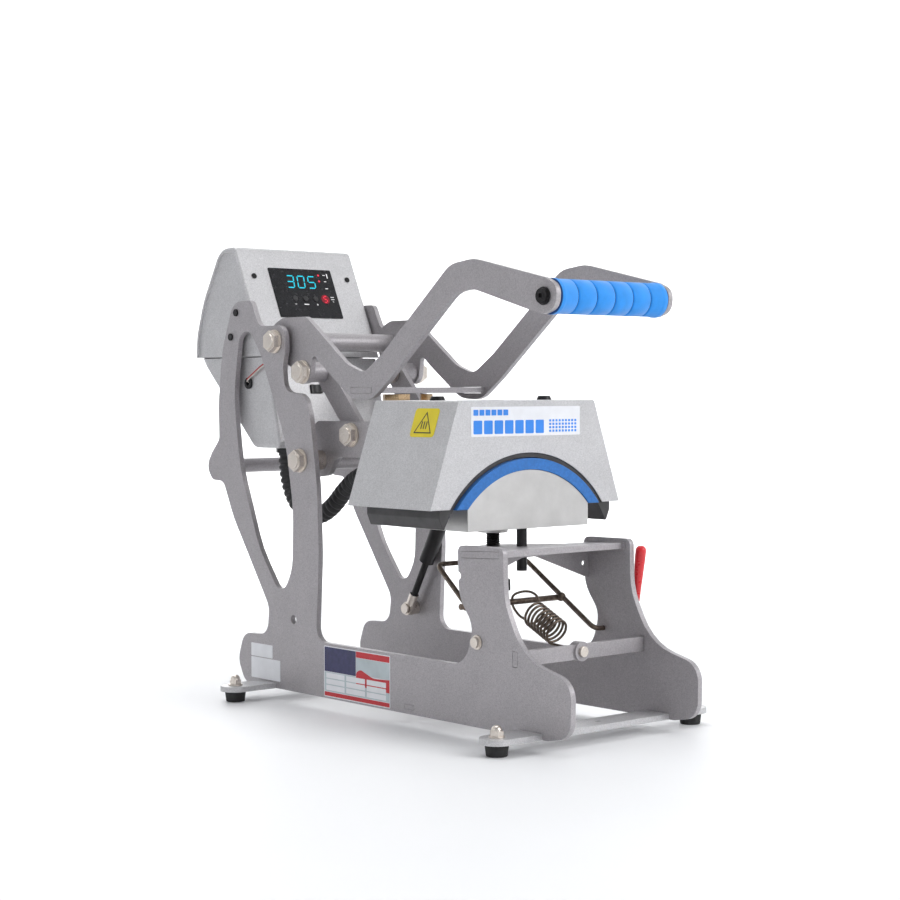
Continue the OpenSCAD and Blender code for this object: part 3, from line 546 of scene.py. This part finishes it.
def rest_on_housing(shell, node):
    add_bevel(shell, 0.3, segments=1, angle=40)
    settle(shell)
    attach(shell, "frame")
    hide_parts(node)


def make_housing():
    upper = housing_shell("housing_upper_cover", [
        (598, SEAM_Z, 0), (596, 418, 60), (582, 458, 90), (545, 520, 34), (514, 520, 7), (455, SEAM_Z, 0)
    ], 85.5, 3.6, 2.5, 1.6)
    window = prisms("window_cutter", [rounded_box(-WINDOW_HALF, WINDOW_BOTTOM, WINDOW_HALF, WINDOW_TOP, 1.5)],
                    -9, 9, PANEL, "rubber", None)
    cut(upper, [window])
    rest_on_housing(upper, "housing_upper_shell")
    lower = housing_shell("housing_lower_cover", [
        (455, SEAM_Z - 1.2, 0), (431, 285, 7), (484, 285, 16), (582, 378, 24), (591, SEAM_Z - 1.2, 0)
    ], 81, 5, 0, 2.5)
    inlet = cutter_box((18, 444, 278), (46, 466, 290))
    conduit_hole = lathe("hole_cutter", [(0, 11.9), (20, 11.9)], (-45, 466, 275), (0, 0, 1), 32, "rubber")
    sensor_hole = lathe("hole_cutter", [(0, 6.5), (10, 6.5)], (-86, 491, 360), (1, 0, 0), 32, "rubber")
    rocker_hole = prisms("hole_cutter", [rounded_box(-8.6, -5.4, 8.6, 5.4, 1)], -9, 9, ROCKER, "rubber", None)
    cut(lower, [inlet, conduit_hole, sensor_hole, rocker_hole])
    rest_on_housing(lower, "housing_lower_shell")


def segment_digit(shape, left, bottom, width, height, stroke, slant=0.12):
    """The lit bars of a seven-segment digit, as outlines on the panel."""
    lit = {"0": "abcdef", "3": "abcdg", "5": "acdfg"}[shape]
    middle = bottom + height / 2
    right, top = left + width, bottom + height
    lines = {"a": (left, top, right, top), "b": (right, middle, right, top),
             "c": (right, bottom, right, middle), "d": (left, bottom, right, bottom),
             "e": (left, bottom, left, middle), "f": (left, middle, left, top),
             "g": (left, middle, right, middle)}
    bars = []
    for key in lit:
        x0, y0, x1, y1 = lines[key]
        a, b = Vector((x0, y0)), Vector((x1, y1))
        along = (b - a).normalized()
        across = Vector((-along.y, along.x)) * stroke / 2
        a, b = a + along * 0.35 * stroke, b - along * 0.35 * stroke
        tip = along * stroke / 2
        bar = [a, a + tip - across, b - tip - across, b, b - tip + across, a + tip + across]
        bars.append([Vector((p.x + slant * (p.y - bottom), p.y)) for p in bar])
    return bars


def make_display():
    face = 0.9
    gap = 0.15
    sheet = rounded_box(-WINDOW_HALF + gap, WINDOW_BOTTOM + gap, WINDOW_HALF - gap, WINDOW_TOP - gap, 1.4)
    overlay = prisms("display_overlay", [sheet], -2, face, PANEL, "window", "frame", edge=0.3)
    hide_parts("display_window")
    digits = []
    for shape, left in zip("305", (-24, -8.5, 7)):
        digits += segment_digit(shape, left, -51.5, 9.6, 15.5, 1.35)
    prisms("display_digits", digits, face, face + 0.12, PANEL, "lit_cyan", "frame")
    prisms("counter_glow", [disc(26.5, -66, 6)], face, face + 0.06, PANEL, "dim_red", "frame")
    prisms("counter_digit", segment_digit("5", 23.8, -70, 4.6, 8, 1.3), face + 0.06, face + 0.16, PANEL,
           "lit_red", "frame")
    prisms("display_lamps", [disc(25.5, -34, 1.3, 16), disc(24.5, -42, 1.3, 16)], face, face + 0.15, PANEL,
           "lit_red", "frame")
    # These marks are white print with a faint painted glow.
    marks = [rounded_box(x - w / 2, y - h / 2, x + w / 2, y + h / 2, 0.3) for x, y, w, h in (
        (34, -33.5, 4, 0.9), (38.5, -34.5, 1.3, 6), (33.5, -42, 3.4, 0.9), (33, -51.5, 4, 0.9),
        (37.5, -63, 5, 0.8), (37.5, -66, 5, 0.8), (37.5, -69, 2, 0.8),
        (-19, -73.5, 2.4, 0.8), (-3.5, -73.5, 7, 1.3), (12.6, -73.5, 2.4, 0.8), (12.6, -73.5, 0.8, 2.4))]
    prisms("display_marks", marks, face, face + 0.08, PANEL, "painted_glow_white", "frame")


def make_wires():
    route = [(-79, 493, 362), (-83.4, 492, 363), (-84.2, 488, 365.5), (-84.2, 476, 372), (-84.2, 465, 378),
             (-83.6, 458, 381), (-81, 449.5, 383.5), (-74, 449, 384), (-72, 457, 384)]
    for name, finish, lift in (("sensor_wire_red", "wire_red", 0.9),
                               ("sensor_wire_white", "wire_white", -0.9)):
        path = smooth_path([(x, y, z + lift) for x, y, z in route], 2)
        tube(name, path, 0.7, 10, finish, "frame")


# ---------- labels ----------

def side_place(x):
    """Places outlines (-y, z) on the outer face of the left plate."""
    turn = Matrix(((0, 0, -1), (-1, 0, 0), (0, 1, 0))).to_4x4()
    return Matrix.Translation(at(x, 0, 0)) @ turn @ Matrix.Scale(MM, 4)


def make_labels():
    plate = side_place(-PLATE_OUTER_X)
    film = 0.3
    base = prisms("frame_label_film", [
        rounded_box(-333, 14, -217, 70, 1.5), rounded_box(-473, 20, -416, 44, 1),
        rounded_box(-473, 45, -431, 60, 1)
    ], 0, film, plate, "label", "frame")
    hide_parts("frame_labels")
    prisms("label_navy_block", [rounded_box(-332, 42, -276, 69, 0.4)], film, film + 0.03, plate,
           "print_navy", "frame")
    grey_fields = [rounded_box(-275.6, 44, -218, 62, 0.4), rounded_box(-332, 20, -218, 41.5, 0.4)]
    prisms("label_grey_block", grey_fields, film, film + 0.03, plate, "print_grey", "frame")
    red_fields = [rounded_box(-275.6, 62.4, -218, 69, 0.4), rounded_box(-332, 15, -218, 19.5, 0.4),
                  outline([(-275.6, 32, 0), (-218, 30, 0), (-218, 44, 0), (-246, 42.5, 30),
                           (-268, 50, 8), (-275.6, 46, 4)])]
    prisms("label_red_bands", red_fields, film + 0.03, film + 0.06, plate, "print_red", "frame")
    columns = (-329, -293, -257)
    rows = (21.5, 28.2, 34.9)
    prisms("label_white_boxes", [rounded_box(x, z, x + 33, z + 5.6, 0.6) for x in columns for z in rows],
           film + 0.06, film + 0.09, plate, "label", "frame")

    front = (Matrix.Translation(at(0, 101, 0)) @ Matrix(((1, 0, 0), (0, 0, -1), (0, 1, 0))).to_4x4()
             @ Matrix.Scale(MM, 4))
    panel = prisms("head_label_film", [rounded_box(-80, 303.5, 74, 334, 1)], 0, 0.3, front, "label",
                   "platen_arm")
    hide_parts("head_label")
    stripes = [rounded_box(-77 + 8.2 * i, 325, -70.2 + 8.2 * i, 331, 0.6) for i in range(6)]
    stripes += [rounded_box(-77 + 14.4 * i, 306, -65 + 14.4 * i, 320, 1.2) for i in range(7)]
    dots = [rounded_box(29 + 4.6 * i, 307 + 3.6 * k, 32 + 4.6 * i, 309.4 + 3.6 * k, 0.4)
            for i in range(9) for k in range(4)]
    prisms("head_label_pattern", stripes + dots, 0.3, 0.36, front, "print_blue", "platen_arm")

    low, high = Vector((-134.3, 230.4)), Vector((-96.2, 340.4))
    slope = (high - low).normalized()
    turn = Matrix(((0, slope.x, -slope.y), (-1, 0, 0), (0, slope.y, slope.x))).to_4x4()
    side = Matrix.Translation(at(low.x, 0, low.y)) @ turn @ Matrix.Scale(MM, 4)
    prisms("warning_sticker", [rounded_box(-164, 77, -126, 108, 4)], 0.02, 0.35, side, "print_yellow",
           "platen_arm")
    left, right, top = Vector((-159, 81)), Vector((-131, 81)), Vector((-145, 104.5))
    middle = (left + right + top) / 3
    outer = [left, right, top]
    inner = [p + (middle - p) * 0.16 for p in outer]
    frame_bars = [[outer[i], outer[(i + 1) % 3], inner[(i + 1) % 3], inner[i]] for i in range(3)]
    heat_bars = [rounded_box(x, 85.5, x + 1.6, 94, 0.7) for x in (-149.5, -145.8, -142.1)]
    prisms("warning_sign", frame_bars + heat_bars, 0.35, 0.41, side, "print_black", "platen_arm")


# ---------- conduit, grip, wire forms ----------

def make_conduit():
    route = [(-45, y, z) for y, z in ((466, 287), (466, 268), (462, 246), (452, 227), (436, 214), (416, 208),
                                      (396, 211), (376, 222), (358, 237), (339, 250), (316, 259), (290, 262),
                                      (241, 262))]
    path = smooth_path(route, 1.0)
    middle_radius, ridge, steepness, width_bias, pitch = 9.45, 0.85, 2.6, 0.35, 7.6
    waves = [math.sin(2 * math.pi * s / pitch) for s in distances(path)]
    radii = [middle_radius + ridge * math.tanh(steepness * (width_bias + wave)) for wave in waves]
    conduit = tube("corrugated_conduit", path, radii, 24, "black_plastic")
    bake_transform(conduit)
    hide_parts("cable_conduit")


def make_grip():
    end, flange, ring_pitch = 75.1, 68.7, 25.4
    radius, flange_radius, bore = 17.2, 18.0, 11.1
    profile = [(-end, bore), (-end, flange_radius - 1.2), (-end + 0.4, flange_radius - 0.4),
               (-end + 1.2, flange_radius)]
    right = [(-x, r) for x, r in reversed(profile)]
    profile += [(-flange - 1, flange_radius), (-flange, flange_radius - 0.25), (-flange + 1.5, radius)]
    groove = [(-1.6, 0), (-1.1, -0.35), (-0.6, -1.3), (0, -1.6), (0.6, -1.3), (1.1, -0.35), (1.6, 0)]
    for k in range(-2, 3):
        profile += [(k * ring_pitch + dx, radius + dr) for dx, dr in groove]
    profile += [(flange - 1.5, radius), (flange, flange_radius - 0.25), (flange + 1, flange_radius)]
    profile += right
    grip = lathe("ribbed_foam_grip", profile, (0, -9, 442), (1, 0, 0), 72, "foam", "handle",
                 closed=True)
    # The groove bottoms and the end faces get the darker navy: painted shade on the same blue foam.
    grip.data.materials.append(MATERIALS["foam_painted_shade"])
    groove_reach = 0.8 * MM
    for face in grip.data.polygons:
        x = face.center.x
        in_groove = any(abs(x - k * ring_pitch * MM) < groove_reach for k in range(-2, 3))
        if in_groove or abs(x) > (end - 1.5) * MM:
            face.material_index = 1
    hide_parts("foam_grip")


def make_bail():
    wire = bent([(-90.3, 78, 98), (-73, 78, 98), (-62, 176, 168), (62, 176, 168), (73, 78, 98), (100, 78, 98),
                 (100, 44, 122), (100, 36, 182)], 9)
    bail = tube("bent_wire_bail", wire, 2.7, 16, "spring_steel", "bail")
    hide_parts("hold_down_bail")
    foot, tip = Vector((100, 44, 122)), Vector((100, 36, 182))
    length = (tip - foot).length
    body = [(6, 2.9), (6, 3.5), (7, 3.9), (20, 4.3), (38, 5.1), (52, 5.7), (length, 5.8)]
    dome = [(length + 5.6 * math.sin(math.radians(a)), 5.8 * math.cos(math.radians(a)))
            for a in range(12, 88, 12)]
    grip = lathe("dipped_lever_grip", body + dome, foot, tip - foot, 32, "red_vinyl", "bail")
    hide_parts("lever_grip")


def make_spring():
    low, high = Vector((0, 30, 88)), Vector((8, 125, 128))
    axis = (high - low).normalized()
    side = axis.cross(Vector((1, 0, 0))).normalized()
    other = axis.cross(side)
    length, radius, turns = (high - low).length, 13, 8
    first, last = 0.32 * length, 0.75 * length
    coil = []
    steps = turns * 20
    for i in range(steps + 1):
        t = i / steps
        a = 2 * math.pi * turns * t
        spoke = radius * (math.cos(a) * side + math.sin(a) * other)
        coil.append(low + axis * (first + (last - first) * t) + spoke)
    front_hook = [(-5, 25.5, 91.2), (-9.2, 27, 88.4), (-8, 28, 83.6), (-2.8, 29.5, 83.2), (-0.5, 34, 86),
                  (0.5, 42, 88), (2, 52, 88)]
    back_hook = [(5, y, z) for y, z in (
        (114, 111), (121, 113.5), (129.5, 120.5), (132.8, 128), (130, 134.5), (118, 139), (105, 140),
        (95.5, 137), (91, 131))]
    path = smooth_path(front_hook + coil + back_hook, 1.6)
    spring = tube("wound_tension_spring", path, 1.35, 10, "spring_steel")
    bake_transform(spring)
    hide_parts("hold_down_spring")


def make_threaded_rod():
    radius, depth, pitch, sides = 7.8, 1.15, 2.309, 36
    bottom, top, y = 122, 229.5, 157
    rows = round((top - bottom) / pitch * 6)
    points = []
    for i in range(rows + 1):
        z = bottom + (top - bottom) * i / rows
        for k in range(sides):
            wave = (z / pitch - k / sides) % 1
            r = radius - depth * min(1, 2.4 * abs(wave - 0.5))
            turn = 2 * math.pi * k / sides
            points.append(at(r * math.cos(turn), y + r * math.sin(turn), z))
    rod = mesh_piece("threaded_pressure_rod", points, ring_faces(rows + 1, sides), "black_steel",
                     "lower_platen_group")
    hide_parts("pressure_rod")


def make_floor():
    """A round sweep, flat under the press and curved up far behind every view."""
    flat, bend, height = 2900, 1900, 4500
    profile = [(0, 1), (0, 600), (0, 1600), (0, flat)]
    profile += [(bend * (1 - math.cos(math.radians(a))), flat + bend * math.sin(math.radians(a)))
                for a in range(10, 91, 10)]
    profile.append((height, flat + bend))
    floor = lathe("floor", profile, (0, FRONT_FOOT_Y, 0), (0, 0, 1), 96, "floor")
    floor.data.polygons[len(floor.data.polygons) - 1].use_smooth = False
    top = bmesh.new()
    top.from_mesh(floor.data)
    top.faces.ensure_lookup_table()
    bmesh.ops.delete(top, geom=[f for f in top.faces if len(f.verts) > 4 and f.calc_center_median().z > 1],
                     context="FACES")
    top.to_mesh(floor.data)
    top.free()


MATERIALS = make_materials()
make_camera()
make_studio()
make_floor()
finish_cad_nodes()
plate_gas_spring_end()
make_housing()
make_display()
make_wires()
make_labels()
make_conduit()
make_grip()
make_bail()
make_spring()
make_threaded_rod()
